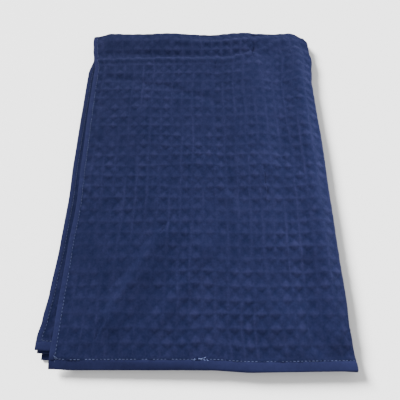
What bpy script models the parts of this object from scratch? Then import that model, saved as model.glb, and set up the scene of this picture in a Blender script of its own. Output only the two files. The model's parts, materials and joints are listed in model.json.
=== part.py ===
"""Quick dry towel, folded in four: one hemmed cloth split at its folds so that it can open.

Metres, +Z up.  X runs across the folded towel, with the lengthwise fold at +X.  Y runs along it,
with the crosswise fold at +Y and the end hems at -Y.  The origin is the middle of the footprint,
on the surface that the towel lies on.
"""
import math

import bmesh
import bpy
from mathutils import Vector

# ---- Driving dimensions, in metres ---------------------------------------------------------
TOP_WIDTH = 0.246  # top layer, from its side hem's edge to the outside of the lengthwise fold
FOLDED_LENGTH = 0.371  # top layer, from its end hem's edge to the outside of the crosswise fold
LAYER = 0.0024  # thickness of one layer of the cloth
LAYER_GAP = 0.0003  # clearance between two layers that lie on each other
END_GAP = 0.0003  # clearance between pieces that meet edge to edge
SIDE_HEM = 0.0052  # width of the hems along the long edges
END_HEM = 0.0080  # width of the hems along the short edges
STITCHING = 0.0008  # width of a row of stitching
BEND_STEPS = 12  # facets round half a turn of cloth

# How far each layer lies from the top layer's edges: the towel was folded by hand.
# "out" is past the top layer's left edge, at the near corner and at the crosswise fold.
# "back" is behind the top layer's near edge, at the left corner and at the lengthwise fold.
LAYERS = {
    "top": {"out_near": 0.0, "out_far": 0.0, "back_left": 0.0, "back_fold": 0.0},
    "upper_inner": {"out_near": 0.0138, "out_far": 0.0066, "back_left": 0.0170, "back_fold": 0.0},
    "lower_inner": {"out_near": 0.0126, "out_far": 0.0061, "back_left": 0.0145, "back_fold": 0.0030},
    "bottom": {"out_near": 0.0094, "out_far": 0.0056, "back_left": 0.0094, "back_fold": 0.0030},
}
HALVES = {"upper": ("top", "upper_inner"), "lower": ("bottom", "lower_inner")}

CLOTH_COLOR = (0.022, 0.037, 0.105, 1.0)
HEM_COLOR = (0.028, 0.044, 0.125, 1.0)
THREAD_COLOR = (0.100, 0.130, 0.260, 1.0)
CLOTH_ROUGHNESS = 0.92
THREAD_ROUGHNESS = 0.75

# ---- Sizes that follow from them -----------------------------------------------------------
PITCH = LAYER + LAYER_GAP
STACK = len(LAYERS) * LAYER + (len(LAYERS) - 1) * LAYER_GAP
MIDDLE_Z = STACK / 2
SIDE_BEND_REACH = PITCH / 2 + LAYER / 2  # outer radius of the lengthwise fold's bends
END_BEND_REACH = 3 * PITCH / 2 + LAYER / 2  # outer radius of the crosswise fold's outer bend
WIDEST_OUT = max(layer["out_near"] for layer in LAYERS.values())
RIGHT = (TOP_WIDTH + WIDEST_OUT) / 2
TOP_LEFT = RIGHT - TOP_WIDTH
SIDE_BEND_X = RIGHT - SIDE_BEND_REACH  # where the lengthwise fold's bends begin
NEAR = -FOLDED_LENGTH / 2
END_BEND_Y = FOLDED_LENGTH / 2 - END_BEND_REACH  # where the crosswise fold's bends begin
AXIS = Vector((0.0, END_BEND_Y, MIDDLE_Z))  # a point on the crosswise fold's axis, along X
PANEL_SIDE = SIDE_HEM + STITCHING + 2 * END_GAP  # left edge to panel
PANEL_NEAR = END_HEM + STITCHING + 2 * END_GAP  # near edge to panel


def clear_scene():
    """Remove every object, so that only the towel is left."""
    for obj in list(bpy.data.objects):
        bpy.data.objects.remove(obj, do_unlink=True)


def make_material(name, color, roughness):
    """A matte Principled material."""
    material = bpy.data.materials.new(name)
    material.use_nodes = True
    shader = material.node_tree.nodes["Principled BSDF"]
    shader.inputs["Base Color"].default_value = color
    shader.inputs["Roughness"].default_value = roughness
    shader.inputs["Metallic"].default_value = 0.0
    material.diffuse_color = color
    return material


def layer_z(name):
    """Height of the middle of a layer's thickness."""
    rows_up = len(LAYERS) - 1 - list(LAYERS).index(name)
    return LAYER / 2 + rows_up * PITCH


def layer_edges(name):
    """A layer's near left corner, and the slopes of its left edge and of its near edge."""
    layer = LAYERS[name]
    corner = Vector((TOP_LEFT - layer["out_near"], NEAR + layer["back_left"]))
    left_slope = (layer["out_near"] - layer["out_far"]) / (END_BEND_Y - corner.y)
    near_slope = (layer["back_fold"] - layer["back_left"]) / (SIDE_BEND_X - corner.x)
    return corner, left_slope, near_slope


def at_corner(name, in_x, in_y):
    """Point of a layer that lies in_x inside its left edge and in_y inside its near edge."""
    corner, left_slope, near_slope = layer_edges(name)
    share = 1 - left_slope * near_slope
    dx = (in_x + left_slope * in_y) / share
    dy = (in_y + near_slope * in_x) / share
    return corner + Vector((dx, dy))


def at_side_fold(name, in_y):
    """Y of a layer where it meets the lengthwise fold, in_y inside its near edge."""
    return NEAR + LAYERS[name]["back_fold"] + in_y


def at_end_fold(name, in_x):
    """X of a layer where it meets the crosswise fold, in_x inside its left edge."""
    return TOP_LEFT - LAYERS[name]["out_far"] + in_x


def finish(name, mesh_data, material, moves):
    """Write a bmesh to an object whose origin is on the fold's axis when the piece moves."""
    bmesh.ops.recalc_face_normals(mesh_data, faces=mesh_data.faces)
    mesh = bpy.data.meshes.new(name)
    mesh_data.to_mesh(mesh)
    mesh_data.free()
    mesh.materials.append(material)
    obj = bpy.data.objects.new(name, mesh)
    bpy.context.collection.objects.link(obj)
    if moves:
        mesh.transform(axis_empty().matrix_world.inverted())
        obj.parent = axis_empty()
    return obj


def axis_empty():
    """The empty on the crosswise fold's axis, which carries the half that opens."""
    empty = bpy.data.objects.get("crosswise_fold_axis")
    if empty is None:
        empty = bpy.data.objects.new("crosswise_fold_axis", None)
        empty.location = AXIS
        bpy.context.collection.objects.link(empty)
        bpy.context.view_layer.update()
    return empty


def loft(name, sections, material, moves):
    """Bridge a row of four-cornered sections, each a list of points, into one closed solid."""
    mesh_data = bmesh.new()
    loops = []
    for points in sections:
        corners = [mesh_data.verts.new(point) for point in points]
        ends = zip(corners, corners[1:] + corners[:1])
        loops.append([mesh_data.edges.new(pair) for pair in ends])
    for first, second in zip(loops, loops[1:]):
        bmesh.ops.bridge_loops(mesh_data, edges=first + second)
    for end in (loops[0], loops[-1]):
        bmesh.ops.contextual_create(mesh_data, geom=end)
    return finish(name, mesh_data, material, moves)


def flat_piece(name, z, corners, material, moves):
    """A flat piece of one layer, from its corners in X and Y, in order from the near left one."""
    near_left, near_right, far_right, far_left = corners
    low = z - LAYER / 2
    high = z + LAYER / 2
    sections = []
    for near, far in ((near_left, far_left), (near_right, far_right)):
        sections.append([(*near, low), (*far, low), (*far, high), (*near, high)])
    return loft(name, sections, material, moves)


def side_bend_points(half, radius):
    """Points in X and Z round the lengthwise fold of one half, from its outer layer to its inner."""
    outer, inner = HALVES[half]
    centre = (layer_z(outer) + layer_z(inner)) / 2
    turn = 1 if layer_z(outer) > centre else -1
    points = []
    for step in range(BEND_STEPS + 1):
        angle = math.pi * step / BEND_STEPS
        points.append((SIDE_BEND_X + radius * math.sin(angle), centre + turn * radius * math.cos(angle)))
    return points


def side_bend_sections(half, near, far):
    """Sections round the lengthwise fold of one half, between two distances in Y."""
    inside = side_bend_points(half, PITCH / 2 - LAYER / 2)
    outside = side_bend_points(half, PITCH / 2 + LAYER / 2)
    sections = []
    for (in_x, in_z), (out_x, out_z) in zip(inside, outside):
        sections.append([(in_x, near, in_z), (in_x, far, in_z), (out_x, far, out_z), (out_x, near, out_z)])
    return sections


def across_section(half, layer, near_point, far_point):
    """Section through one layer at the near edge, ordered as side_bend_sections orders its own."""
    outer = HALVES[half][0]
    away = 1 if layer_z(outer) > MIDDLE_Z else -1
    if layer != outer:
        away = -away
    inside = layer_z(layer) - away * LAYER / 2
    outside = layer_z(layer) + away * LAYER / 2
    return [
        (near_point.x, near_point.y, inside),
        (far_point.x, far_point.y, inside),
        (far_point.x, far_point.y, outside),
        (near_point.x, near_point.y, outside),
    ]


def end_strip(name, half, start, width, material, moves):
    """A strip along a half's near edge, from its outer layer's left edge round the fold to its inner's."""
    outer, inner = HALVES[half]
    strip = []
    for layer in (outer, inner):
        strip.append(
            across_section(half, layer, at_corner(layer, 0, start), at_corner(layer, 0, start + width))
        )
    near = at_side_fold(outer, start)
    bend = side_bend_sections(half, near, near + width)
    return loft(name, [strip[0], *bend, strip[1]], material, moves)


def build_half(half, cloth, hem, thread):
    """Panels, hems, stitching and lengthwise fold of the half above or below the crosswise fold."""
    moves = half == "upper"
    far = END_BEND_Y - END_GAP
    bend_x = SIDE_BEND_X - END_GAP
    for layer in HALVES[half]:
        z = layer_z(layer)
        strips = (
            ("side_hem", 0, SIDE_HEM, hem),
            ("side_stitching", SIDE_HEM + END_GAP, STITCHING, thread),
        )
        for label, start, width, material in strips:
            corners = [
                at_corner(layer, start, PANEL_NEAR),
                at_corner(layer, start + width, PANEL_NEAR),
                (at_end_fold(layer, start + width), far),
                (at_end_fold(layer, start), far),
            ]
            flat_piece(f"{layer}_{label}", z, corners, material, moves)
        corners = [
            at_corner(layer, PANEL_SIDE, PANEL_NEAR),
            (bend_x, at_side_fold(layer, PANEL_NEAR)),
            (bend_x, far),
            (at_end_fold(layer, PANEL_SIDE), far),
        ]
        flat_piece(f"{layer}_panel", z, corners, cloth, moves)
    end_strip(f"{half}_end_hem", half, 0, END_HEM, hem, moves)
    end_strip(f"{half}_end_stitching", half, END_HEM + END_GAP, STITCHING, thread, moves)
    near = at_side_fold(HALVES[half][0], PANEL_NEAR)
    loft(f"{half}_side_fold", side_bend_sections(half, near, far), cloth, moves)


def end_bend_sections(upper, lower, start, end):
    """Sections round the crosswise fold that joins two layers, between two distances in X.

    start and end are measured from the layers' left edges, and end is None at the lengthwise fold.
    """
    radius = (layer_z(upper) - layer_z(lower)) / 2
    sections = []
    for step in range(BEND_STEPS + 1):
        share = step / BEND_STEPS
        angle = math.pi * share
        left = (1 - share) * at_end_fold(upper, start) + share * at_end_fold(lower, start)
        right = SIDE_BEND_X - END_GAP
        if end is not None:
            right = left + end - start
        section = []
        for x, reach in ((left, -LAYER / 2), (right, -LAYER / 2), (right, LAYER / 2), (left, LAYER / 2)):
            distance = radius + reach
            y = END_BEND_Y + distance * math.sin(angle)
            section.append((x, y, MIDDLE_Z + distance * math.cos(angle)))
        sections.append(section)
    return sections


def build_end_folds(cloth, hem):
    """The crosswise fold: its two bends, their hems, and the corner that both folds share."""
    pairs = {"outer": ("top", "bottom"), "inner": ("upper_inner", "lower_inner")}
    hem_width = SIDE_HEM + END_GAP + STITCHING
    for name, (upper, lower) in pairs.items():
        loft(f"{name}_hem_fold", end_bend_sections(upper, lower, 0, hem_width), hem, False)
        cloth_start = hem_width + END_GAP
        loft(f"{name}_end_fold", end_bend_sections(upper, lower, cloth_start, None), cloth, False)

    mesh_data = bmesh.new()
    outline = side_bend_points("upper", PITCH / 2 + LAYER / 2)
    outline += reversed(side_bend_points("upper", PITCH / 2 - LAYER / 2))
    corners = [mesh_data.verts.new((x, END_BEND_Y, z)) for x, z in outline]
    section = mesh_data.faces.new(corners)
    bmesh.ops.spin(
        mesh_data,
        geom=[section],
        cent=AXIS,
        axis=(-1.0, 0.0, 0.0),
        angle=math.pi,
        steps=BEND_STEPS,
    )
    finish("corner_fold", mesh_data, cloth, False)


def main():
    clear_scene()
    cloth = make_material("cloth", CLOTH_COLOR, CLOTH_ROUGHNESS)
    hem = make_material("hem", HEM_COLOR, CLOTH_ROUGHNESS)
    thread = make_material("thread", THREAD_COLOR, THREAD_ROUGHNESS)
    for half in HALVES:
        build_half(half, cloth, hem, thread)
    build_end_folds(cloth, hem)


main()
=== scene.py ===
"""Quick dry towel, folded in four and lying flat: a waffle-woven cloth with stitched hems.

Every piece is made flat, in the cloth's own coordinates, and one function then folds it:
s runs across the open cloth, in metres, from the top layer's edge round the lengthwise fold to the
inner layer's edge; w runs along it, 0 to 1 over the upper half, 1 to 2 round the crosswise fold and
2 to 3 over the lower half; d is the height above the middle of the cloth on its front, in metres.
"""
import json
import math

import bmesh
import bpy
import numpy as np
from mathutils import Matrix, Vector


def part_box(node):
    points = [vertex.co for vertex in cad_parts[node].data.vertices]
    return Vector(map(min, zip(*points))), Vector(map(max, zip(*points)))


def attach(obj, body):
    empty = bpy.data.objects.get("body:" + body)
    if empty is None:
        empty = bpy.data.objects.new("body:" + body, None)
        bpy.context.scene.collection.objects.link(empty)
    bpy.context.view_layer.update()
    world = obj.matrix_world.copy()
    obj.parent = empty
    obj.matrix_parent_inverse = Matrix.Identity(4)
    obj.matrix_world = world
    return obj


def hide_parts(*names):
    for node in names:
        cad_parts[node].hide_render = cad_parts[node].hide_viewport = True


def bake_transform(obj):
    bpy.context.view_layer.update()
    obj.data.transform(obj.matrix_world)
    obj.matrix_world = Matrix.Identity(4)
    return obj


bl_info = {
    "name": "Folded Waffle Towel",
    "version": (1, 0, 0),
    "blender": (4, 5, 0),
    "location": "3D View > Sidebar > Towel",
    "description": "Weaves, hems, stitches and folds a quick dry towel round its packed frame",
    "category": "Object",
}

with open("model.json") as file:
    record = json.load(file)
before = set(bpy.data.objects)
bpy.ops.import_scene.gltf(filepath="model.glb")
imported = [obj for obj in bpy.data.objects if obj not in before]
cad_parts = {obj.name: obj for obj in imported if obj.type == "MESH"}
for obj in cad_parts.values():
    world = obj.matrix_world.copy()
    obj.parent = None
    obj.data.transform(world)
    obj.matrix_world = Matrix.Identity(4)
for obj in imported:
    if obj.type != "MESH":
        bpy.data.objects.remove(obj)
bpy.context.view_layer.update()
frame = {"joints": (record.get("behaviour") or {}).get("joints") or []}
MM = 0.001

# ---- Places and sizes that the frame gives ---------------------------------------------------
SIDE_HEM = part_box("top_side_hem")[1].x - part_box("top_side_hem")[0].x
END_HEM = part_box("upper_end_stitching")[0].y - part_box("upper_end_hem")[0].y
PANEL_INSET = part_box("top_side_hem")[0].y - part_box("upper_end_hem")[0].y
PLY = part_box("top_panel")[1].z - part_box("top_panel")[0].z  # thickness of one layer
BEND_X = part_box("upper_side_fold")[0].x
AXIS_Y, AXIS_Z = frame["joints"][0]["pos_m"][1:]


class Layer:
    """One of the towel's four layers, as the frame gives it."""

    def __init__(self, name, half):
        low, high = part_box(f"{name}_side_hem")
        self.z = (low.z + high.z) / 2
        self.left_near = low.x
        self.left_far = high.x - SIDE_HEM
        self.near_left = low.y - PANEL_INSET
        self.near_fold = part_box(f"{half}_side_fold")[0].y - PANEL_INSET


TOP = Layer("top", "upper")
UPPER_INNER = Layer("upper_inner", "upper")
LOWER_INNER = Layer("lower_inner", "lower")
BOTTOM = Layer("bottom", "lower")
PITCH = TOP.z - UPPER_INNER.z
OUTER_WIDTH = BEND_X - TOP.left_near  # flat width of the top layer
BEND_ARC = math.pi * PITCH / 2
INNER_WIDTH = BEND_X - (UPPER_INNER.left_near + UPPER_INNER.left_far) / 2
CLOTH_WIDTH = OUTER_WIDTH + BEND_ARC + INNER_WIDTH
HALF_LENGTH = AXIS_Y - TOP.near_fold
OUTER_ARC = math.pi * (TOP.z - AXIS_Z)
INNER_ARC = math.pi * (UPPER_INNER.z - AXIS_Z)
STEP_S = 0.2 * MM  # step for slopes across the cloth
STEP_W = 4e-4  # step for slopes along it


class TowelSizes(bpy.types.PropertyGroup):
    """Sizes of the weave, the hems and the stitches."""

    cell_width: bpy.props.FloatProperty(
        name="Cell width", description="Waffle cell, across the towel", default=11.1 * MM, unit="LENGTH"
    )
    cell_length: bpy.props.FloatProperty(
        name="Cell length", description="Waffle cell, along the towel", default=12.0 * MM, unit="LENGTH"
    )
    relief: bpy.props.FloatProperty(
        name="Relief", description="Depth of a cell under its ridges", default=0.9 * MM, unit="LENGTH"
    )
    ground: bpy.props.FloatProperty(
        name="Ground", description="Thickness of the cloth without its relief",
        default=1.3 * MM, unit="LENGTH",
    )
    stitch_pitch: bpy.props.FloatProperty(
        name="Stitch pitch", description="Length of one stitch", default=3.0 * MM, unit="LENGTH"
    )
    thread: bpy.props.FloatProperty(
        name="Thread", description="Diameter of the sewing thread", default=0.55 * MM, unit="LENGTH"
    )


class TowelColours(bpy.types.PropertyGroup):
    """Colours of the cloth, the thread and the floor."""

    # Painted shade: the material moves toward this darker navy in the middles of the cells, where shade
    # falls, and also where the tone is darker at random.
    deep: bpy.props.FloatVectorProperty(
        name="Deep", description="Navy cotton down in the cells",
        default=(0.0030, 0.0056, 0.0224), subtype="COLOR",
    )
    # Painted sheen: the material moves toward this paler, greyer navy on the floats and the thin lengthwise
    # lines as a highlight, and also where the tone is paler at random.
    pale: bpy.props.FloatVectorProperty(
        name="Pale", description="Navy cotton on the worn floats",
        default=(0.0173, 0.0187, 0.0557), subtype="COLOR",
    )
    hem: bpy.props.FloatVectorProperty(
        name="Hem", description="Pressed hem", default=(0.0117, 0.0139, 0.0448), subtype="COLOR"
    )
    thread: bpy.props.FloatVectorProperty(
        name="Thread", description="Sewing thread", default=(0.042, 0.054, 0.112), subtype="COLOR"
    )
    floor: bpy.props.FloatVectorProperty(
        name="Floor", description="Pale table top", default=(0.80, 0.80, 0.80), subtype="COLOR"
    )


# ---- Small helpers ---------------------------------------------------------------------------
def smooth(value, start, end):
    """0 before start and 1 after end, with an eased step between them."""
    share = np.clip((value - start) / (end - start), 0, 1)
    return share * share * (3 - 2 * share)


def eased(value, stops):
    """A smooth line through stops, each a place and a height."""
    total = np.full(np.shape(value), float(stops[0][1]))
    for (start, before), (end, after) in zip(stops, stops[1:]):
        total = total + (after - before) * smooth(value, start, end)
    return total


def waves(x, y, length, seed):
    """Smooth uneven waves of about one length, from about -1 to 1."""
    draw = np.random.RandomState(seed)
    count = 8
    total = 0
    for _ in range(count):
        turn = draw.uniform(0, 2 * math.pi)
        phase = draw.uniform(0, 2 * math.pi)
        rate = 2 * math.pi / (length * draw.uniform(0.7, 1.5))
        total = total + np.sin(rate * (x * math.cos(turn) + y * math.sin(turn)) + phase)
    return total / math.sqrt(count)


def ridge(x, y, points, left, right):
    """A soft ridge, 1 high, along a line of points, as wide as given on each side of the line."""
    best = np.zeros(np.broadcast(x, y).shape)
    for (ax, ay), (bx, by) in zip(points, points[1:]):
        dx = bx - ax
        dy = by - ay
        share = np.clip(((x - ax) * dx + (y - ay) * dy) / (dx * dx + dy * dy), 0, 1)
        away = (x - ax - share * dx) ** 2 + (y - ay - share * dy) ** 2
        width = np.where((y - ay) * dx > (x - ax) * dy, left, right)
        best = np.maximum(best, np.exp(-away / width**2))
    return best


# ---- How the cloth lies ----------------------------------------------------------------------
# Creases of the top layer: height in millimetres, width on the left and on the right of the line, and
# the line's points in millimetres from the middle of the towel.
TOP_CREASES = (
    (1.3, 3.4, 3.4, ((-116, 142), (-40, 143), (42, 141), (64, 150), (101, 171))),
    (-2.2, 5.0, 5.0, ((-116, 149), (-50, 150), (40, 149), (66, 158))),
    (0.8, 3.0, 3.0, ((-22, 168), (47, 168), (101, 177))),
    (-1.6, 5.0, 7.0, ((-98, 117), (-40, 106), (20, 84))),
    (3.5, 6.0, 15.0, ((-72, -142), (-58, -116), (-33, -72))),
    (2.2, 9.0, 9.0, ((-30, -148), (-4, -108), (4, -84))),
    (-2.2, 15.0, 4.5, ((21, 128), (21, 60), (25, 10), (34, -24))),
    (4.0, 14.0, 36.0, ((64, 134), (62, 60), (66, 6))),
    (-0.9, 6.0, 5.0, ((26, -40), (25, -90), (20, -140))),
    (-1.8, 8.0, 6.0, ((86, 60), (84, 0), (82, -34), (75, -88), (73, -128))),
    (-2.0, 9.0, 6.0, ((98, -98), (96, -122), (98, -166))),
    (4.0, 14.0, 12.0, ((118, -156), (117, -60), (116, 60), (116, 150))),
)
# How far each edge swings from its straight line: a place along the edge and an offset, in millimetres.
LEFT_WAVE = (
    (-185, -2.4), (-145, -1.7), (-83, -0.3), (-38, 1.8), (10, 0.5), (83, -0.4), (130, 0.0), (146, -3.2),
    (157, -5.0), (173, -6.5),
)
UNDER_WAVE = (
    (-175, -2.0), (-159, -2.6), (-145, -0.6), (-122, 1.4), (-79, 3.0), (-34, 3.4), (10, 1.6), (70, 0.6),
    (125, 0.0), (150, 4.0), (178, 5.0),
)
RIGHT_WAVE = (
    (-185, 2.1), (-150, -0.9), (-130, 0.3), (-95, -0.4), (-20, 0.3), (29, 1.2), (75, 0.3), (108, -0.2),
    (126, 1.8), (144, 4.5), (156, 2.8), (170, 2.6), (180, -2.0), (186, -6.0),
)
NEAR_WAVE = ((-116, 2.3), (-95, 1.6), (10, 1.6), (46, -0.2), (126, 0.6))
FAR_WAVE = ((-124, -4.4), (-98, -0.6), (98, -0.6), (112, -0.1), (118, -0.4), (126, -4.0))

# How the top layer rises, in millimetres.
PUFF = 1.5  # lift by the air under it
SWELLS = (  # uneven swells: height, squeeze along the towel, wave length and seed
    (0.60, 1.0, 75, 3),
    (0.42, 0.28, 32, 14),
    (0.16, 1.0, 22, 11),
)
LEAST_RISE = -0.3  # how far it can sink before it meets the next layer
FLOOR_SHARPNESS = 5  # how sharply it stops there
SIDE_FOLD_SINK = 1.0  # how far it is drawn down at the lengthwise fold
ROLL_HEIGHT = 2.2  # the roll of cloth before the crosswise fold
ROLL_Y = 171
ROLL_WIDTH = 10.5
SLANT_HEIGHT = 0.42  # the slanting pulls beside the side hem
SLANT_LENGTH = 17.0
OVERHANG_DROP = 0.30  # how far it drops for each millimetre past the layer under it
INNER_SWELL = 0.18  # height of the next layer's swells

FOLD_BULGE = 1.15  # how far the lengthwise fold stands out, in its own radii
KNUCKLE_SWELL = 0.28  # how much the folded corner bunches up, and where, in millimetres
KNUCKLE_X = 112
KNUCKLE_WIDTH = 6


def near_edge(layer, x):
    """Y of a layer's near edge at x."""
    share = (x - layer.left_near) / (BEND_X - layer.left_near)
    y = layer.near_left + (layer.near_fold - layer.near_left) * share
    if layer is TOP:
        y = y + MM * eased(x / MM, NEAR_WAVE)
    return y


def left_edge(layer, y):
    """X of a layer's left edge at y."""
    share = (y - layer.near_left) / (AXIS_Y - layer.near_left)
    x = layer.left_near + (layer.left_far - layer.left_near) * share
    return x + MM * eased(y / MM, LEFT_WAVE if layer is TOP else UNDER_WAVE)


def top_rise(x, y):
    """How far the top layer is lifted above its flat place, by air, creases and the folds."""
    xm = x / MM
    ym = y / MM
    inside = smooth(xm, -118, -100) * (1 - smooth(xm, 114, 126)) * smooth(ym, -186, -170)
    height = PUFF * inside
    for lift, squeeze, length, seed in SWELLS:
        height = height + lift * waves(xm, ym * squeeze, length, seed) * inside
    past_hem = smooth(xm, -118, -110)
    past_seam = smooth(ym, -181, -168)
    for lift, left, right, points in TOP_CREASES:
        height = height + lift * ridge(xm, ym, points, left, right) * past_hem * past_seam
    height = np.logaddexp(FLOOR_SHARPNESS * height, FLOOR_SHARPNESS * LEAST_RISE) / FLOOR_SHARPNESS
    height = height - SIDE_FOLD_SINK * smooth(xm, 117, 127)
    roll = (0.25 + 0.75 * smooth(xm, -124, -98)) * (1 - 0.5 * smooth(xm, 108, 126))
    height = height + ROLL_HEIGHT * np.exp(-(((ym - ROLL_Y) / ROLL_WIDTH) ** 2)) * roll
    slant = np.sin(2 * math.pi * (ym + 0.9 * xm) / SLANT_LENGTH + 1.6 * waves(xm, ym, 60, 5))
    beside_hem = smooth(xm, -113, -108) * (1 - smooth(xm, -104, -88))
    height = height + SLANT_HEIGHT * slant * beside_hem * smooth(ym, -60, -30) * (1 - smooth(ym, 112, 130))
    overhang = np.maximum(near_edge(UPPER_INNER, x) - 3 * MM - y, 0) / MM
    height = height - OVERHANG_DROP * overhang * smooth(overhang, 0, 4) * (1 - smooth(xm, 90, 120))
    return height * MM


def inner_rise(x, y):
    """The same for the layer under it, which lies flatter."""
    return INNER_SWELL * MM * waves(x / MM, y / MM, 60, 8)


def flat_rise(x, y):
    """The lower layers lie flat."""
    return np.zeros(np.broadcast(x, y).shape)


HALVES = {
    "upper": (TOP, UPPER_INNER, top_rise, inner_rise),
    "lower": (BOTTOM, LOWER_INNER, flat_rise, flat_rise),
}


def lay_half(half, s, t):
    """X, Y and Z of the middle of one half's cloth, at t from its near edge, 0, to its far fold, 1."""
    outer, inner, outer_rise, in_rise = HALVES[half]
    across = np.clip(s / OUTER_WIDTH, 0, 1)
    theta = math.pi * np.clip((s - OUTER_WIDTH) / BEND_ARC, 0, 1)
    back = np.clip((s - OUTER_WIDTH - BEND_ARC) / INNER_WIDTH, 0, 1)
    guess_outer = outer.left_near + across * (BEND_X - outer.left_near)
    guess_inner = BEND_X + back * (inner.left_near - BEND_X)
    on_inner = s > OUTER_WIDTH + BEND_ARC / 2
    guess = np.where(on_inner, guess_inner, guess_outer)
    near = np.where(on_inner, near_edge(inner, guess_inner), near_edge(outer, guess_outer))
    far = AXIS_Y + MM * eased(guess / MM, FAR_WAVE)
    y = near + t * (far - near)
    right = BEND_X + MM * eased(y / MM, RIGHT_WAVE)
    outer_x = left_edge(outer, y) * (1 - across) + right * across
    inner_x = right * (1 - back) + left_edge(inner, y) * back
    outer_z = outer.z + outer_rise(outer_x, y)
    inner_z = inner.z + in_rise(inner_x, y)
    middle = (outer_z + inner_z) / 2
    reach = (outer_z - inner_z) / 2
    turning = (theta > 0) & (theta < math.pi)
    x = np.where(on_inner, inner_x, outer_x)
    x = np.where(turning, right + FOLD_BULGE * np.abs(reach) * np.sin(theta), x)
    z = np.where(on_inner, inner_z, outer_z)
    z = np.where(turning, middle + reach * np.cos(theta), z)
    return x, y, z


def lay_middle(s, w):
    """The middle of the cloth at s and w, as an array of points."""
    if np.max(w) <= 1:
        return np.stack(lay_half("upper", s, w), axis=-1)
    if np.min(w) >= 2:
        return np.stack(lay_half("lower", s, 3 - w), axis=-1)
    upper = lay_half("upper", s, np.clip(w, 0, 1))
    lower = lay_half("lower", s, np.clip(3 - w, 0, 1))
    turn = math.pi * np.clip(w - 1, 0, 1)
    share = (1 - np.cos(turn)) / 2
    radius = (upper[2] - AXIS_Z) * (1 - share) + (AXIS_Z - lower[2]) * share
    x = upper[0] * (1 - share) + lower[0] * share
    knuckle = 1 + KNUCKLE_SWELL * np.exp(-(((x / MM - KNUCKLE_X) / KNUCKLE_WIDTH) ** 2))
    y = upper[1] * (1 - share) + lower[1] * share + radius * np.sin(turn) * knuckle
    z = AXIS_Z + radius * np.cos(turn)
    z = np.where(w <= 1, upper[2], np.where(w >= 2, lower[2], z))
    return np.stack([x, y, z], axis=-1)


def lay(s, w, d):
    """Points of the folded towel, at heights d above the middle of the cloth."""
    s, w = np.broadcast_arrays(np.clip(s, 0, CLOTH_WIDTH), np.clip(w, 0, 3))
    middle = lay_middle(s, w)
    side_s = np.where(s < CLOTH_WIDTH / 2, 1, -1)
    side_w = np.where((w % 1 < 0.5) & (w < 3), 1, -1)
    across = (lay_middle(s + STEP_S * side_s, w) - middle) * side_s[..., None]
    along = (lay_middle(s, np.clip(w + STEP_W * side_w, 0, 3)) - middle) * side_w[..., None]
    normal = np.cross(across, along)
    normal /= np.linalg.norm(normal, axis=-1, keepdims=True)
    return middle + normal * np.asarray(d, float)[..., None]


def metres_along(w):
    """Distance along the flat cloth from the upper half's near edge."""
    turned = np.clip(w - 1, 0, 1) * OUTER_ARC
    return np.clip(w, 0, 1) * HALF_LENGTH + turned + np.clip(w - 2, 0, 1) * HALF_LENGTH


def w_along(distance, arc):
    """The w that lies at a distance along an edge whose fold has that arc."""
    first = np.clip(distance / HALF_LENGTH, 0, 1)
    turned = np.clip((distance - HALF_LENGTH) / arc, 0, 1)
    return first + turned + np.clip((distance - HALF_LENGTH - arc) / HALF_LENGTH, 0, 1)


# ---- The weave -------------------------------------------------------------------------------
CELL_PHASE_S = 0.08  # in cells, from the top layer's edge to the first lengthwise ridge
CELL_PHASE_W = 0.69  # in cells, from the near edge to the first crosswise ridge
FLAT_BY_SEAM = 3.0 * MM  # how far from a seam the relief is pressed flat
PUCKER_HEIGHT = 0.16 * MM  # the small gathers by the seams


def cells(s, w):
    """Position in waffle cells, where whole numbers are ridges."""
    sizes = bpy.context.scene.towel_sizes
    across = s / sizes.cell_width - CELL_PHASE_S
    along = metres_along(w) / sizes.cell_length - CELL_PHASE_W
    return across, along


LEAN = 0.58  # share of a cell that a crosswise ridge's far slope takes
FLOAT_COLUMNS = 64
FLOAT_ROWS = 80
# How far each float stands out.
FLOATS = np.random.RandomState(12).uniform(0.35, 1.35, (2, FLOAT_COLUMNS, FLOAT_ROWS))


def weave_parts(s, w):
    """The weave's ground, from 0 to 1, its crosswise and lengthwise floats, and its thin lengthwise line."""
    across, along = cells(s, w)
    loose_s = across + 0.05 * waves(across, along, 5.0, 21) + 0.03 * waves(across, along, 1.7, 26)
    loose_w = along + 0.06 * waves(across, along, 4.0, 22) + 0.03 * waves(across, along, 1.7, 27)
    column = np.floor(loose_s)
    row = np.floor(loose_w)
    part_s = loose_s - column
    part_w = loose_w - row
    warp = np.abs(1 - 2 * part_s)  # 1 on a lengthwise ridge, 0 in mid cell
    weft = np.where(part_w < LEAN, 1 - part_w / LEAN, (part_w - LEAN) / (1 - LEAN))
    next_row = (row + (part_w >= LEAN)).astype(int) % FLOAT_ROWS
    next_column = (column + (part_s >= 0.5)).astype(int) % FLOAT_COLUMNS
    out = np.maximum(weft - warp, 0)
    weft_float = FLOATS[0][column.astype(int) % FLOAT_COLUMNS, next_row] * out * (1.55 - 0.75 * out)
    warp_float = FLOATS[1][next_column, row.astype(int) % FLOAT_ROWS] * np.maximum(warp - weft, 0)
    ground = np.log(np.exp(12 * warp) + np.exp(12 * weft)) / 12
    shown = np.clip(0.5 + waves(loose_s, loose_w * 0.4, 3.0, 28), 0, 1.4)
    line = shown * np.exp(-(((1 - warp) / 0.16) ** 2))
    return ground, weft_float, warp_float, line


def waffle(s, w):
    """Relief of the weave, from 0 at the bottom of a cell to about 1.6 on its floats."""
    ground, weft_float, warp_float, line = weave_parts(s, w)
    return 0.42 * ground + 1.00 * weft_float + 0.38 * warp_float + 0.15 * line


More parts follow.
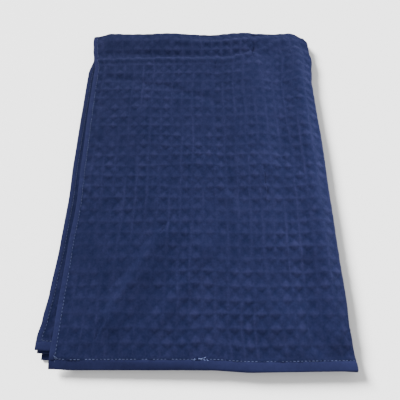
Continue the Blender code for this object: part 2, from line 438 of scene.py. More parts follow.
def depth_share(s, w):
    """How deep the relief is: uneven, drawn out by the near left corner, pressed inside the stack."""
    across, along = cells(s, w)
    drawn_out = (1 - smooth(across, 4, 11)) * (1 - smooth(along, 6, 14))
    pressed = np.maximum(smooth(s, OUTER_WIDTH, OUTER_WIDTH + BEND_ARC), smooth(w, 1.2, 1.9))
    uneven = 1 + 0.22 * waves(across, along, 9.0, 23) + 0.12 * waves(across, along, 3.0, 24)
    round_fold = smooth(w, 0.95, 1.0) * (1 - smooth(w, 2.0, 2.05))
    return uneven * (1 - 0.35 * drawn_out) * (1 - 0.45 * pressed) * (1 - 0.5 * round_fold)


def by_seam(s, w):
    """0 on the hems and by the seams, 1 in the open cloth."""
    edge = np.minimum(s, CLOTH_WIDTH - s) - SIDE_HEM
    ends = np.minimum(w, 3 - w) * HALF_LENGTH - END_HEM
    return smooth(np.minimum(edge, ends), 0, FLAT_BY_SEAM)


def seam_puckers(s, w):
    """Small gathers across the seams, from -1 to 1, which fade away from them."""
    side = np.minimum(s, CLOTH_WIDTH - s)
    end = np.minimum(w, 3 - w) * HALF_LENGTH
    along = metres_along(w)
    by_side = waves(along / MM, side / MM * 0.3, 8.0, 35) * np.exp(-(((side - SIDE_HEM) / (6 * MM)) ** 2))
    by_end = waves(s / MM, end / MM * 0.3, 8.0, 36) * np.exp(-(((end - END_HEM) / (7 * MM)) ** 2))
    return by_side + by_end


def front_height(s, w):
    """Height of the cloth's front face above its middle."""
    sizes = bpy.context.scene.towel_sizes
    open_cloth = by_seam(s, w)
    relief = sizes.relief * (waffle(s, w) - 0.55) * depth_share(s, w)
    seam = 0.34 * PLY + 0.3 * relief
    woven = (sizes.ground / 2 + relief) * open_cloth
    return seam * (1 - open_cloth) + woven + PUCKER_HEIGHT * seam_puckers(s, w)


def back_height(s, w):
    """Height of the cloth's back face, which has the same relief the other way up."""
    sizes = bpy.context.scene.towel_sizes
    shifted = waffle(s + sizes.cell_width / 2, w + sizes.cell_length / 2 / HALF_LENGTH)
    return -sizes.ground / 2 - sizes.relief * 0.8 * (shifted - 0.6) * by_seam(s, w)


def plain_back(s, w):
    """Height of the back face where it is never seen."""
    return np.full(np.broadcast(s, w).shape, -bpy.context.scene.towel_sizes.ground / 2)


# ---- Making meshes ---------------------------------------------------------------------------
def new_object(name, points, faces, uvs=None):
    """A mesh object from points, faces and the cloth coordinates of each point."""
    mesh = bpy.data.meshes.new(name)
    mesh.from_pydata([tuple(p) for p in points], [], faces)
    if uvs is not None:
        corners = np.empty(len(mesh.loops), np.int32)
        mesh.loops.foreach_get("vertex_index", corners)
        layer = mesh.uv_layers.new(name="Cloth")
        layer.data.foreach_set("uv", np.asarray(uvs, np.float32)[corners].ravel())
    obj = bpy.data.objects.new(name, mesh)
    bpy.context.scene.collection.objects.link(obj)
    return obj


def grid_faces(columns, rows, start, flipped):
    """Quads of a grid of points, whose first point is number start."""
    index = start + np.arange(columns * rows).reshape(columns, rows)
    quads = np.stack([index[:-1, :-1], index[1:, :-1], index[1:, 1:], index[:-1, 1:]], axis=-1)
    quads = quads.reshape(-1, 4)
    if flipped:
        quads = quads[:, ::-1]
    return quads.tolist()


def rim_faces(front_index, back_index):
    """Triangles that close the rim between the edges of two grids of different fineness."""
    faces = []
    sides = (
        (front_index[:, 0], back_index[:, 0]),
        (front_index[-1, :], back_index[-1, :]),
        (front_index[::-1, -1], back_index[::-1, -1]),
        (front_index[0, ::-1], back_index[0, ::-1]),
    )
    for front, back in sides:
        i = 0
        j = 0
        while i < len(front) - 1 or j < len(back) - 1:
            front_share = (i + 1) / (len(front) - 1)
            back_share = (j + 1) / (len(back) - 1)
            if j == len(back) - 1 or (i < len(front) - 1 and front_share <= back_share):
                faces.append((int(front[i + 1]), int(front[i]), int(back[j])))
                i += 1
            else:
                faces.append((int(front[i]), int(back[j]), int(back[j + 1])))
                j += 1
    return faces


def face_outwards(obj):
    """Turns every face outwards."""
    shape = bmesh.new()
    shape.from_mesh(obj.data)
    bmesh.ops.recalc_face_normals(shape, faces=shape.faces)
    shape.to_mesh(obj.data)
    shape.free()


def shade(obj, degrees):
    """Smooth shading, with edges sharper than an angle kept sharp."""
    bpy.ops.object.select_all(action="DESELECT")
    obj.select_set(True)
    bpy.context.view_layer.objects.active = obj
    bpy.ops.object.shade_smooth_by_angle(angle=math.radians(degrees))
    obj.select_set(False)


def cloth_piece(name, front_s, front_w, back_s, back_w, back_face):
    """A closed piece of cloth: a fine front face, a back face and the rim between them."""
    fs, fw = np.meshgrid(front_s, front_w, indexing="ij")
    bs, bw = np.meshgrid(back_s, back_w, indexing="ij")
    front = lay(fs, fw, front_height(fs, fw)).reshape(-1, 3)
    back = lay(bs, bw, back_face(bs, bw)).reshape(-1, 3)
    faces = grid_faces(len(front_s), len(front_w), 0, False)
    faces += grid_faces(len(back_s), len(back_w), len(front), True)
    front_index = np.arange(len(front)).reshape(fs.shape)
    back_index = len(front) + np.arange(len(back)).reshape(bs.shape)
    faces += rim_faces(front_index, back_index)
    uvs = np.concatenate([np.stack(cells(s, w), -1).reshape(-1, 2) for s, w in ((fs, fw), (bs, bw))])
    obj = new_object(name, np.concatenate([front, back]), faces, uvs)
    all_s = np.concatenate([fs.ravel(), bs.ravel()])
    all_w = np.concatenate([fw.ravel(), bw.ravel()])
    # Masks for the painted sheen on the floats and the painted shade in the cells.
    ground, weft_float, warp_float, line = weave_parts(all_s, all_w)
    share = by_seam(all_s, all_w) * depth_share(all_s, all_w)
    store_sheen_and_shade_masks(obj, ground, weft_float * share, (warp_float * 0.5 + line) * share)
    shade(obj, 60)
    return obj


def store_sheen_and_shade_masks(obj, ground, weft_float, warp_line):
    """Stores where the floats lie and how near each point is to a ridge, which the material turns into
    painted sheen on the floats and painted shade in the cells.
    """
    stored = obj.data.attributes.new("weave", "FLOAT_COLOR", "POINT")
    colours = np.stack([ground, weft_float, warp_line, np.ones(len(ground))], axis=-1)
    stored.data.foreach_set("color", colours.astype(np.float32).ravel())


def steps(start, end, size):
    """Even steps from start to end, of about one size."""
    return np.linspace(start, end, max(2, round(abs(end - start) / size) + 1))


# ---- Shader maths ----------------------------------------------------------------------------
class Value:
    """A shader socket that Python's arithmetic turns into Math nodes."""

    def __init__(self, finish, socket):
        self.finish = finish
        self.socket = socket

    def _math(self, operation, *values):
        return self.finish.node("ShaderNodeMath", {"operation": operation}, dict(enumerate(values)))

    def __add__(self, other):
        return self._math("ADD", self, other)

    def __radd__(self, other):
        return self._math("ADD", other, self)

    def __sub__(self, other):
        return self._math("SUBTRACT", self, other)

    def __rsub__(self, other):
        return self._math("SUBTRACT", other, self)

    def __mul__(self, other):
        return self._math("MULTIPLY", self, other)

    def __rmul__(self, other):
        return self._math("MULTIPLY", other, self)

    def to_ridge(self):
        """Distance to the nearest whole number, from 0 to 1 half way between two."""
        return self._math("PINGPONG", self, 0.5) * 2

    def wave(self):
        """Cosine of the value, from 0 to 1, with one wave for each whole number."""
        return self._math("COSINE", self * (2 * math.pi)) * 0.5 + 0.5

    def above(self, other):
        """1 where the value is greater than the other, with a soft step."""
        return self.finish.node(
            "ShaderNodeMapRange", {"interpolation_type": "SMOOTHSTEP"},
            {"Value": self - other, "From Min": -0.12, "From Max": 0.12},
        )


class Finish:
    """A material and the one way its nodes are made."""

    def __init__(self, name):
        self.material = bpy.data.materials.new(name)
        self.material.use_nodes = True
        self.tree = self.material.node_tree
        self.shader = self.tree.nodes["Principled BSDF"]
        self.place = self.node("ShaderNodeTexCoord", {}, {}, "Object")

    def node(self, kind, settings, inputs, output=0):
        """Adds a node: its settings first, then the values or links of its sockets."""
        node = self.tree.nodes.new(kind)
        for key, value in settings.items():
            setattr(node, key, value)
        for key, value in inputs.items():
            self.set(node.inputs[key], value)
        return Value(self, node.outputs[output])

    def set(self, socket, value):
        """Gives a socket a number or colour, or a link."""
        if isinstance(value, Value):
            self.tree.links.new(value.socket, socket)
        else:
            socket.default_value = value

    def principled(self, **inputs):
        """Sets the shader's own sockets, with spaces in their names written as _."""
        for key, value in inputs.items():
            self.set(self.shader.inputs[key.replace("_", " ")], value)

    def mix(self, factor, first, second, blend="MIX"):
        """A colour between two colours."""
        inputs = {0: factor, 6: first, 7: second}
        return self.node("ShaderNodeMix", {"data_type": "RGBA", "blend_type": blend}, inputs, 2)

    def noise(self, scale, detail=3.0, vector=None):
        """Noise from 0 to 1, by the piece's own place unless another vector is given."""
        inputs = {"Vector": vector or self.place, "Scale": scale, "Detail": detail}
        return self.node("ShaderNodeTexNoise", {}, inputs)

    def bump(self, strength, distance, height):
        """The surface's normal with a height laid over it."""
        inputs = {"Strength": strength, "Distance": distance, "Height": height}
        return self.node("ShaderNodeBump", {}, inputs)

    def cloth_map(self):
        """Place on the flat cloth, in waffle cells: the whole vector, across and along."""
        uv = self.node("ShaderNodeUVMap", {"uv_map": "Cloth"}, {})
        parts = [self.node("ShaderNodeSeparateXYZ", {}, {"Vector": uv}, part) for part in "XY"]
        return uv, *parts


def rgba(colour, share=1.0):
    """A colour property as a shader colour, lightened or darkened."""
    return (colour[0] * share, colour[1] * share, colour[2] * share, 1.0)


YARNS_PER_CELL_S = 26.0  # lengthwise yarns in one cell
YARNS_PER_CELL_W = 28.0  # crosswise yarns in one cell
NAPPED = {  # the dull, faintly blue nap of the cotton
    "Specular_IOR_Level": 0.03,
    "Sheen_Weight": 0.03,
    "Sheen_Roughness": 0.4,
    "Sheen_Tint": (0.50, 0.56, 1.0, 1.0),
}


def cloth_finish():
    """Matte navy cotton: painted sheen makes the floats of yarn on the ridges lighter and greyer and painted
    shade makes the cells darker, over yarn stripes and tone that differs at random.
    """
    colours = bpy.context.scene.towel_colours
    finish = Finish("navy_waffle")
    uv, across, along = finish.cloth_map()
    stored = finish.node("ShaderNodeAttribute", {"attribute_name": "weave"}, {}, "Color")
    ground, weft_float, warp_line = [
        finish.node("ShaderNodeSeparateColor", {}, {"Color": stored}, part)
        for part in ("Red", "Green", "Blue")
    ]
    weft_yarns = across.to_ridge().above(along.to_ridge())
    warp_yarn = (across * YARNS_PER_CELL_S).wave()
    weft_yarn = (along * YARNS_PER_CELL_W).wave()
    yarn = weft_yarns * weft_yarn + (1 - weft_yarns) * warp_yarn
    fuzz = finish.noise(2600.0)
    heather = finish.noise(620.0)
    mottle = finish.noise(150.0)
    broad = finish.noise(24.0, 2.0)
    drawn = finish.node("ShaderNodeMapping", {}, {"Vector": uv, "Scale": (2.2, 0.30, 1.0)})
    streaks = finish.noise(1.0, vector=drawn)
    # Painted light: darker toward the middles of the cells (painted shade), lighter on the floats and the
    # thin lengthwise lines (painted sheen); the factors after it are yarn stripes and tone at random.
    light = 0.80 + ground * 0.14 + weft_float * 0.25 + warp_line * 0.15
    light = light * (0.90 + yarn * 0.10) * (0.64 + heather * 0.72) * (0.80 + mottle * 0.40)
    light = light * (0.72 + streaks * 0.56) * (0.85 + broad * 0.30)
    colour = finish.mix(light - 0.5, rgba(colours.deep), rgba(colours.pale))
    height = yarn * 0.7 + fuzz * 0.5
    bump = finish.bump(0.35, 0.00025, height)
    finish.principled(Base_Color=colour, Roughness=0.86 + fuzz * 0.12, Normal=bump)
    finish.principled(**NAPPED)
    return finish.material


def hem_finish():
    """The same cotton, pressed flat: a fine plain weave."""
    colours = bpy.context.scene.towel_colours
    finish = Finish("navy_hem")
    _, across, along = finish.cloth_map()
    weave = (across * YARNS_PER_CELL_S).wave() * (along * YARNS_PER_CELL_W).wave()
    heather = finish.noise(420.0)
    broad = finish.noise(60.0, 2.0)
    fuzz = finish.noise(2600.0)
    share = (0.84 + weave * 0.16) * (0.82 + heather * 0.36) * (0.86 + broad * 0.28)
    grey = finish.node("ShaderNodeCombineColor", {}, {0: share, 1: share, 2: share})
    colour = finish.mix(1.0, rgba(colours.hem, 1.15), grey, "MULTIPLY")
    height = weave * 0.6 + fuzz * 0.5
    bump = finish.bump(0.3, 0.0002, height)
    finish.principled(Base_Color=colour, Roughness=0.84 + fuzz * 0.12, Normal=bump)
    finish.principled(**NAPPED)
    return finish.material


def thread_finish(name="pale_thread", least=0.35, most=1.5):
    """Spun thread, paler than the cloth, with its twist."""
    colours = bpy.context.scene.towel_colours
    finish = Finish(name)
    worn = finish.noise(120.0)
    twist = finish.node(
        "ShaderNodeTexWave", {"bands_direction": "DIAGONAL"}, {"Vector": finish.place, "Scale": 1900.0}
    )
    colour = finish.mix(worn, rgba(colours.thread, least), rgba(colours.thread, most))
    bump = finish.bump(0.4, 0.0001, twist)
    finish.principled(Base_Color=colour, Roughness=0.6 + worn * 0.2, Normal=bump)
    finish.principled(Specular_IOR_Level=0.1, Sheen_Weight=0.05)
    return finish.material


def lock_finish():
    """The same thread where it is doubled and less worn."""
    return thread_finish("bright_thread", 1.4, 3.0)


def floor_finish():
    """A plain pale table top."""
    colours = bpy.context.scene.towel_colours
    finish = Finish("pale_table")
    grain = finish.noise(9.0)
    colour = finish.mix(grain, rgba(colours.floor, 0.995), rgba(colours.floor, 1.005))
    finish.principled(Base_Color=colour, Roughness=0.9, Specular_IOR_Level=0.1)
    return finish.material


def finish_named(name, make):
    """The material of that name, made the first time that it is asked for."""
    return bpy.data.materials.get(name) or make()


def dress(obj, kind):
    """Gives a piece its material."""
    makers = {
        "cloth": ("navy_waffle", cloth_finish),
        "hem": ("navy_hem", hem_finish),
        "thread": ("pale_thread", thread_finish),
        "lock": ("bright_thread", lock_finish),
    }
    obj.data.materials.clear()
    obj.data.materials.append(finish_named(*makers[kind]))


# ---- Pieces ----------------------------------------------------------------------------------
FOLD_BLENDS = {"outer": TOP.z - AXIS_Z, "inner": UPPER_INNER.z - AXIS_Z}


def ride_or_blend(obj, body):
    """A piece of one half is attached to that half's empty, and a piece of the crosswise fold has its place
    baked into its mesh.
    """
    if body in FOLD_BLENDS:
        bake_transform(obj)  # its place is baked into its mesh
    else:
        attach(obj, body)


def fine_grid(s_start, s_end, w_start, w_end):
    """Columns and rows that fall on the ridges and the middles of the cells."""
    sizes = bpy.context.scene.towel_sizes
    column = sizes.cell_width / 10
    row = sizes.cell_length / 12
    return steps(s_start, s_end, column), steps(w_start, w_end, row / HALF_LENGTH)


TUCK = 0.4 * MM  # how far the cloth reaches under its hems
SLIT = 0.35 * MM / HALF_LENGTH  # how far each half's cloth stops short of the crosswise fold
PUFF_ARC = 3.8 * MM  # more cloth that the puffed top layer takes round the crosswise fold
STRIP = 16 * MM  # width of the finer strip by the upper inner layer's hem, where its back shows
OUTER_START = SIDE_HEM - TUCK
HALF_BEND = OUTER_WIDTH + BEND_ARC / 2
FOLD_END = OUTER_WIDTH + BEND_ARC
INNER_END = CLOTH_WIDTH - SIDE_HEM + TUCK


def make_cloth():
    """The four layers with the lengthwise fold, and the two bends of the crosswise fold."""
    sizes = bpy.context.scene.towel_sizes
    near = (END_HEM - TUCK) / HALF_LENGTH
    half_cell = sizes.cell_width / 2
    coarse_w = sizes.cell_length / 2 / HALF_LENGTH
    coarse_top = steps(OUTER_START, OUTER_WIDTH, half_cell)
    coarse_outer = np.concatenate([coarse_top, steps(OUTER_WIDTH, FOLD_END, 0.5 * MM)[1:]])
    coarse_inner = steps(FOLD_END, INNER_END, half_cell)
    strip = INNER_END - STRIP
    outer = (OUTER_START, FOLD_END)
    inner = (FOLD_END, INNER_END)
    upper = (near, 1 - SLIT)
    lower = (2 + SLIT, 3 - near)
    stripped = np.concatenate([steps(FOLD_END, strip, half_cell), steps(strip, INNER_END, MM)[1:]])
    layers = (
        ("top_cloth", outer, upper, coarse_outer, coarse_w, plain_back,
         "upper_half", ("top_panel", "upper_side_fold")),
        ("upper_inner_cloth", inner, upper, stripped, MM / HALF_LENGTH, back_height,
         "upper_half", ("upper_inner_panel",)),
        ("lower_inner_cloth", inner, lower, coarse_inner, coarse_w, plain_back,
         "lower_half", ("lower_inner_panel",)),
        ("bottom_cloth", outer, lower, coarse_outer, coarse_w, plain_back,
         "lower_half", ("bottom_panel", "lower_side_fold")),
    )
    for name, s_ends, w_ends, back_s, back_step, back_face, body, nodes in layers:
        front_s, front_w = fine_grid(*s_ends, *w_ends)
        if name == "upper_inner_cloth":
            front_s = steps(*s_ends, sizes.cell_width / 8)
            front_w = steps(*w_ends, sizes.cell_length / 10 / HALF_LENGTH)
        obj = cloth_piece(name, front_s, front_w, back_s, steps(*w_ends, back_step), back_face)
        dress(obj, "cloth")
        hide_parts(*nodes)
        ride_or_blend(obj, body)
    bends = (
        ("outer_fold_cloth", (OUTER_START, HALF_BEND), "outer", ("outer_end_fold", "corner_fold")),
        ("inner_fold_cloth", (HALF_BEND, INNER_END), "inner", ("inner_end_fold",)),
    )
    for name, s_ends, body, nodes in bends:
        front_s = steps(*s_ends, sizes.cell_width / 10)
        front_w = steps(1 - SLIT, 2 + SLIT, 1 / 24)
        back_w = steps(1 - SLIT, 2 + SLIT, 1 / 16)
        obj = cloth_piece(name, front_s, front_w, front_s, back_w, plain_back)
        dress(obj, "cloth")
        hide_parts(*nodes)
        ride_or_blend(obj, body)


def hem_section(width, count=18):
    """A hem's section: distances in from its edge and heights, round the outside of the turned cloth."""
    turn = 2 * math.pi * np.arange(count) / count
    inward = width / 2 * (1 - np.sign(np.cos(turn)) * np.abs(np.cos(turn)) ** 0.55)
    thickness = 0.5 * PLY * (1 - 0.30 * smooth(inward, width * 0.55, width))
    height = thickness * np.sign(np.sin(turn)) * np.abs(np.sin(turn)) ** 0.45
    return inward, height


def pucker(distance, seed):
    """Small swellings of a hem between its stitches, and slower uneven ones."""
    pitch = bpy.context.scene.towel_sizes.stitch_pitch
    small = 0.5 - 0.5 * np.cos(2 * math.pi * distance / pitch)
    return 0.10 * small + 0.16 * waves(distance / MM, distance * 0, 7.5, seed)


def hem_band(name, width, stations, section_to_cloth, seed):
    """A closed band swept along an edge. section_to_cloth gives s and w from inward and along."""
    inward, height = hem_section(width)
    inwards, along = np.meshgrid(inward, stations, indexing="ij")
    d = height[:, None] * (1 + pucker(along, seed) * (0.4 + 0.6 * smooth(inwards, 0, width)))
    s, w = section_to_cloth(inwards, along)
    points = lay(s, w, d).reshape(-1, 3)
    count = len(inward)
    rows = len(stations)
    index = np.arange(count * rows).reshape(count, rows)
    faces = grid_faces(count, rows, 0, False)
    closing = np.stack([index[-1, :-1], index[0, :-1], index[0, 1:], index[-1, 1:]], axis=-1)
    faces += closing.tolist()
    faces.append(index[:, 0][::-1].tolist())
    faces.append(index[:, -1].tolist())
    obj = new_object(name, points, faces, np.stack(cells(s, w), -1).reshape(-1, 2))
    face_outwards(obj)
    shade(obj, 60)
    return obj


SIDE_EDGES = {
    "top": ("outer", 0, "upper_half"),
    "upper_inner": ("inner", 0, "upper_half"),
    "lower_inner": ("inner", 2, "lower_half"),
    "bottom": ("outer", 2, "lower_half"),
}


def side_to_cloth(edge, arc, start=0):
    """How inward and along become s and w at the outer or the inner long edge, from start inwards."""
    def convert(inward, along):
        """Cloth coordinates of points by the edge."""
        from_edge = start + inward
        s = from_edge if edge == "outer" else CLOTH_WIDTH - from_edge
        return s, w_along(along, arc)
    return convert


def near_to_cloth(half, start=0):
    """The same at the upper or the lower half's near edge."""
    def convert(inward, along):
        """Cloth coordinates of points by the edge."""
        w = (start + inward) / HALF_LENGTH
        return along, w if half == "upper" else 3 - w
    return convert


def edge_arc(edge):
    """Length of the outer or the inner long edge round the crosswise fold."""
    return OUTER_ARC if edge == "outer" else INNER_ARC


def make_hems():
    """The hems along the long edges and round the crosswise fold, and the two near hems."""
    tuck = 0.6 * MM
    for number, (layer, (edge, start, body)) in enumerate(SIDE_EDGES.items()):
        arc = edge_arc(edge)
        first = END_HEM - tuck if start == 0 else HALF_LENGTH + arc
        last = HALF_LENGTH if start == 0 else 2 * HALF_LENGTH + arc - END_HEM + tuck
        obj = hem_band(
            f"{layer}_hem_band", SIDE_HEM, steps(first, last, MM), side_to_cloth(edge, arc), 31 + number
        )
        dress(obj, "hem")
        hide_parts(f"{layer}_side_hem")
        ride_or_blend(obj, body)
    for number, edge in enumerate(FOLD_BLENDS):
        arc = edge_arc(edge)
        stations = np.linspace(HALF_LENGTH, HALF_LENGTH + arc, 17)
        obj = hem_band(f"{edge}_fold_hem_band", SIDE_HEM, stations, side_to_cloth(edge, arc), 41 + number)
        dress(obj, "hem")
        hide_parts(f"{edge}_hem_fold")
        ride_or_blend(obj, edge)
    bend = steps(OUTER_WIDTH, FOLD_END, 0.4 * MM)[1:]
    inner = steps(FOLD_END, CLOTH_WIDTH, MM)[1:]
    stations = np.concatenate([steps(0, OUTER_WIDTH, MM), bend, inner])
    for number, half in enumerate(("upper", "lower")):
        obj = hem_band(f"{half}_near_hem_band", END_HEM, stations, near_to_cloth(half), 51 + number)
        dress(obj, "hem")
        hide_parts(f"{half}_end_hem")
        ride_or_blend(obj, f"{half}_half")


SIDE_SEAM_IN = 0.3 * MM  # how far inside its hem's edge a seam runs
END_SEAM_IN = 0.2 * MM
STITCH_SHARE = 0.58  # share of the pitch that the thread shows for
LOCK_X = 0.0037  # middle of the doubled stitches, in metres
LOCK_STITCHES = 12


def model_stitch():
    """One stitch, modelled once: a short length of thread whose ends dip into the cloth."""
    sizes = bpy.context.scene.towel_sizes
    length = STITCH_SHARE * sizes.stitch_pitch
    radius = sizes.thread / 2
    bpy.ops.object.select_all(action="DESELECT")
    bpy.ops.mesh.primitive_cylinder_add(
        vertices=6, radius=radius, depth=length, end_fill_type="TRIFAN", rotation=(0, math.pi / 2, 0)
    )
    obj = bpy.context.object
    bpy.ops.object.transform_apply(location=True, rotation=True, scale=True)
    bpy.ops.object.mode_set(mode="EDIT")
    for cut in (-0.32, 0.32):
        bpy.ops.mesh.select_all(action="SELECT")
        bpy.ops.mesh.bisect(plane_co=(cut * length, 0, 0), plane_no=(1, 0, 0))
    bpy.ops.mesh.select_all(action="DESELECT")
    bpy.ops.object.mode_set(mode="OBJECT")
    for vertex in obj.data.vertices:
        vertex.select = abs(vertex.co.x) > 0.45 * length
    bpy.ops.object.mode_set(mode="EDIT")
    bpy.ops.transform.translate(value=(0, 0, -1.3 * radius))
    bpy.ops.object.mode_set(mode="OBJECT")
    points = np.array([v.co for v in obj.data.vertices])
    faces = [list(p.vertices) for p in obj.data.polygons]
    bpy.data.objects.remove(obj, do_unlink=True)
    return points, faces


def stitch_row(name, stitch, runs):
    """Stitches joined in one object. A run is stitch places, a function to cloth, a side and a seed."""
    points, faces = stitch
    thread = bpy.context.scene.towel_sizes.thread
    laid = []
    all_faces = []
    for places, to_cloth, side, seed in runs:
        draw = np.random.RandomState(seed)
        count = len(places)
        skew = draw.uniform(-0.10, 0.10, (count, 1))
        sink = draw.uniform(-0.30, 0.04, (count, 1)) * MM
        grow = draw.uniform(0.92, 1.12, (count, 1))
        along = np.asarray(places)[:, None] + grow * points[:, 0]
        inward = points[:, 1] + skew * points[:, 0]
        height = 0.36 * PLY + 0.15 * thread + sink + points[:, 2]
        s, w = to_cloth(inward, along)
        start = len(laid) * len(points)
        laid += list(lay(s, w, side * height))
        for number in range(count):
            first = start + number * len(points)
            all_faces += [[first + v for v in face] for face in faces]
    obj = new_object(name, np.concatenate(laid), all_faces)
    face_outwards(obj)
    shade(obj, 70)
    dress(obj, "thread")
    return obj


def make_stitches():
    """A row of stitches along every hem, on both faces."""
    pitch = bpy.context.scene.towel_sizes.stitch_pitch
    stitch = model_stitch()
    for number, (layer, (edge, start, body)) in enumerate(SIDE_EDGES.items()):
        arc = edge_arc(edge)
        to_cloth = side_to_cloth(edge, arc, SIDE_HEM - SIDE_SEAM_IN)
        first = pitch if start == 0 else HALF_LENGTH + arc + pitch / 2
        last = HALF_LENGTH - pitch / 2 if start == 0 else 2 * HALF_LENGTH + arc - pitch
        places = np.arange(first, last, pitch)
        runs = [(places, to_cloth, side, 61 + number) for side in (1, -1)]
        obj = stitch_row(f"{layer}_stitches", stitch, runs)
        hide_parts(f"{layer}_side_stitching")
        ride_or_blend(obj, body)
    for number, edge in enumerate(FOLD_BLENDS):
        arc = edge_arc(edge)
        to_cloth = side_to_cloth(edge, arc, SIDE_HEM - SIDE_SEAM_IN)
        places = HALF_LENGTH + arc * (np.arange(round(arc / pitch)) + 0.5) / round(arc / pitch)
        obj = stitch_row(f"{edge}_fold_stitches", stitch, [(places, to_cloth, 1, 71 + number)])
        ride_or_blend(obj, edge)
    for number, half in enumerate(("upper", "lower")):
        to_cloth = near_to_cloth(half, END_HEM - END_SEAM_IN)
        places = np.arange(pitch, CLOTH_WIDTH - pitch / 2, pitch)
        runs = [(places, to_cloth, side, 81 + number) for side in (1, -1)]
        obj = stitch_row(f"{half}_near_stitches", stitch, runs)
        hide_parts(f"{half}_end_stitching")
        ride_or_blend(obj, f"{half}_half")
    make_seam_lock(stitch, pitch)


def make_seam_lock(stitch, pitch):
    """Where the near seam starts and ends: the stitches run over themselves, and a thread end is left."""
    middle = LOCK_X - TOP.left_near
    draw = np.random.RandomState(90)
    runs = []
    for number in range(LOCK_STITCHES):
        shift = draw.uniform(-0.7, 0.7)
        tilt = draw.uniform(-0.55, 0.55)
        def to_cloth(inward, along, shift=shift, tilt=tilt):
            """Cloth coordinates of a stitch that is shifted and tilted off the seam."""
            tilted = tilt * (along - along[:, :1])
            return along, (END_HEM - END_SEAM_IN + inward + shift * MM + tilted) / HALF_LENGTH
        place = middle + draw.uniform(-2.3, 2.3) * pitch
        runs.append(([place], to_cloth, 1, 91 + number))
    obj = stitch_row("seam_lock_stitches", stitch, runs)
    dress(obj, "lock")
    ride_or_blend(obj, "upper_half")

    points, faces = stitch
    long_stitch = (points * (4.2, 0.9, 0.9), faces)
    def tail_to_cloth(inward, along):
        """Cloth coordinates of the thread end, which slants away from the corner."""
        slant = -0.42 * (along - SIDE_HEM)
        return along, (END_HEM + 1.3 * MM + inward + slant) / HALF_LENGTH
    tail = stitch_row("thread_end", long_stitch, [([SIDE_HEM - 1.2 * MM], tail_to_cloth, 1, 7)])
    ride_or_blend(tail, "upper_half")


def declare_sheets():
    """Lists each piece of cloth with its flat size, what it lies on, and its hems and stitches, and
    multiplies each width by its length without keeping the result.
    """
    length = HALF_LENGTH - END_HEM
    ends = 2 * SLIT * HALF_LENGTH
    outer = FOLD_END - OUTER_START
    inner = INNER_END - FOLD_END
    upper_near = ("upper_near_hem_band", "upper_near_stitches", "seam_lock_stitches", "thread_end")
    sheets = (
        ("top", outer, length, "upper_inner_cloth", upper_near),
        ("upper_inner", inner, length, "lower_inner_cloth", ()),
        ("lower_inner", inner, length, "bottom_cloth", ()),
        ("bottom", outer, length, (), ("lower_near_hem_band", "lower_near_stitches")),
        ("outer_fold", HALF_BEND - OUTER_START, OUTER_ARC + ends + PUFF_ARC, (), ()),
        ("inner_fold", INNER_END - HALF_BEND, INNER_ARC + ends, (), ()),
    )
    for name, width, long, under, more in sheets:
        width * long


# Name, kind, azimuth, elevation, distance, energy, softness (degrees for a sun, metres for an area) and
# whether the table alone is lit by it or left out.
LIGHTS = (
    ("towel_light", "SUN", -34, 33, 1.0, 8.6, 18, "EXCLUDE"),
    ("side_light", "AREA", 82, 22, 0.42, 3.2, 0.16, "EXCLUDE"),
    ("table_light", "SUN", -50, 30, 1.0, 19.5, 20, "INCLUDE"),
)


def make_stage():
    """The table top, the lights, the camera and the light all round."""
    bpy.ops.object.select_all(action="DESELECT")
    bpy.ops.mesh.primitive_plane_add(size=6.0, location=(0, 0, -0.3 * MM))
    floor = bpy.context.object
    floor.name = "table_top"
    bpy.ops.object.transform_apply(location=True, rotation=True, scale=True)
    floor.data.materials.append(finish_named("pale_table", floor_finish))

    world = bpy.data.worlds.new("studio")
    world.use_nodes = True
    background = world.node_tree.nodes["Background"]
    background.inputs["Color"].default_value = (1.0, 1.0, 1.0, 1.0)
    background.inputs["Strength"].default_value = 1.0
    bpy.context.scene.world = world

    for name, kind, azimuth, elevation, distance, energy, softness, state in LIGHTS:
        light = add_light(name, kind, azimuth, elevation, distance)
        light.data.energy = energy
        if kind == "SUN":
            light.data.angle = math.radians(softness)
        else:
            light.data.size = softness
        link_light(light, floor, state)
    place_camera()


def add_light(name, kind, azimuth, elevation, distance):
    """A light that faces the towel. Azimuth 0 is beyond the far fold, and 90 is to the right."""
    data = bpy.data.lights.new(name, kind)
    light = bpy.data.objects.new(name, data)
    a = math.radians(azimuth)
    e = math.radians(elevation)
    light.location = distance * Vector((math.sin(a) * math.cos(e), math.cos(a) * math.cos(e), math.sin(e)))
    light.rotation_euler = light.location.to_track_quat("Z", "Y").to_euler()
    bpy.context.scene.collection.objects.link(light)
    return light


def link_light(light, floor, state):
    """The light shines on the floor alone, or on everything else, as a studio's background light does."""
    lit = bpy.data.collections.new(light.name)
    lit.objects.link(floor)
    lit.collection_objects[0].light_linking.link_state = state
    light.light_linking.receiver_collection = lit


CAMERA_ELEVATION = 65.5  # in degrees
CAMERA_DISTANCE = 32.7  # in cell widths
CAMERA_LENS = 34.0  # in millimetres
AIM_IN = 0.1201  # the point looked at, in metres from the left and near edges
AIM_ALONG = 0.1507


def place_camera():
    """The camera, close above the near end and looking down at the middle of the towel."""
    sizes = bpy.context.scene.towel_sizes
    elevation = math.radians(CAMERA_ELEVATION)
    distance = CAMERA_DISTANCE * sizes.cell_width
    aim = Vector((TOP.left_near + AIM_IN, TOP.near_fold + AIM_ALONG, TOP.z + PLY / 2))
    data = bpy.data.cameras.new("camera")
    data.lens = CAMERA_LENS
    camera = bpy.data.objects.new("camera", data)
    camera.location = aim + distance * Vector((0, -math.cos(elevation), math.sin(elevation)))
    camera.rotation_euler = (math.pi / 2 - elevation, 0, 0)
    bpy.context.scene.collection.objects.link(camera)
    bpy.context.scene.camera = camera


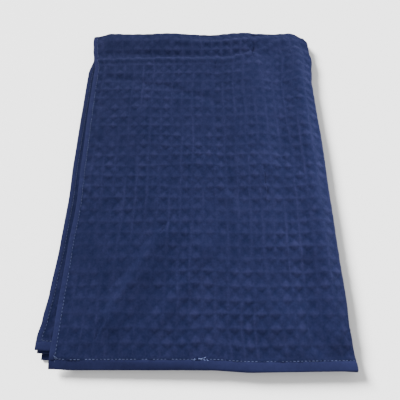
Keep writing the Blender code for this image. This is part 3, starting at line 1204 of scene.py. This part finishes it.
# ---- Operators and panel ---------------------------------------------------------------------
class TOWEL_OT_cloth(bpy.types.Operator):
    """Weave the four layers of cloth and the folds between them"""

    bl_idname = "towel.cloth"
    bl_label = "Cloth"

    def execute(self, context):
        make_cloth()
        return {"FINISHED"}


class TOWEL_OT_hems(bpy.types.Operator):
    """Turn the hems along every edge"""

    bl_idname = "towel.hems"
    bl_label = "Hems"

    def execute(self, context):
        make_hems()
        return {"FINISHED"}


class TOWEL_OT_stitches(bpy.types.Operator):
    """Sew the hems with rows of stitches"""

    bl_idname = "towel.stitches"
    bl_label = "Stitches"

    def execute(self, context):
        make_stitches()
        declare_sheets()
        return {"FINISHED"}


class TOWEL_OT_stage(bpy.types.Operator):
    """Set the table top, the lights and the camera"""

    bl_idname = "towel.stage"
    bl_label = "Stage"

    def execute(self, context):
        make_stage()
        return {"FINISHED"}


class TOWEL_PT_panel(bpy.types.Panel):
    """Lists the steps that make the towel"""

    bl_label = "Towel"
    bl_idname = "TOWEL_PT_panel"
    bl_space_type = "VIEW_3D"
    bl_region_type = "UI"
    bl_category = "Towel"

    def draw(self, context):
        for step in STEPS:
            self.layout.operator(step.bl_idname)


STEPS = (TOWEL_OT_stage, TOWEL_OT_cloth, TOWEL_OT_hems, TOWEL_OT_stitches)
CLASSES = (TowelSizes, TowelColours, *STEPS, TOWEL_PT_panel)


def register():
    """Adds the add-on's classes and its settings."""
    for cls in CLASSES:
        bpy.utils.register_class(cls)
    bpy.types.Scene.towel_sizes = bpy.props.PointerProperty(type=TowelSizes)
    bpy.types.Scene.towel_colours = bpy.props.PointerProperty(type=TowelColours)


def unregister():
    """Takes them away again."""
    del bpy.types.Scene.towel_colours
    del bpy.types.Scene.towel_sizes
    for cls in reversed(CLASSES):
        bpy.utils.unregister_class(cls)


def main():
    """Makes the towel."""
    register()
    bpy.ops.towel.stage()
    bpy.ops.towel.cloth()
    bpy.ops.towel.hems()
    bpy.ops.towel.stitches()


if __name__ == "__main__":
    main()
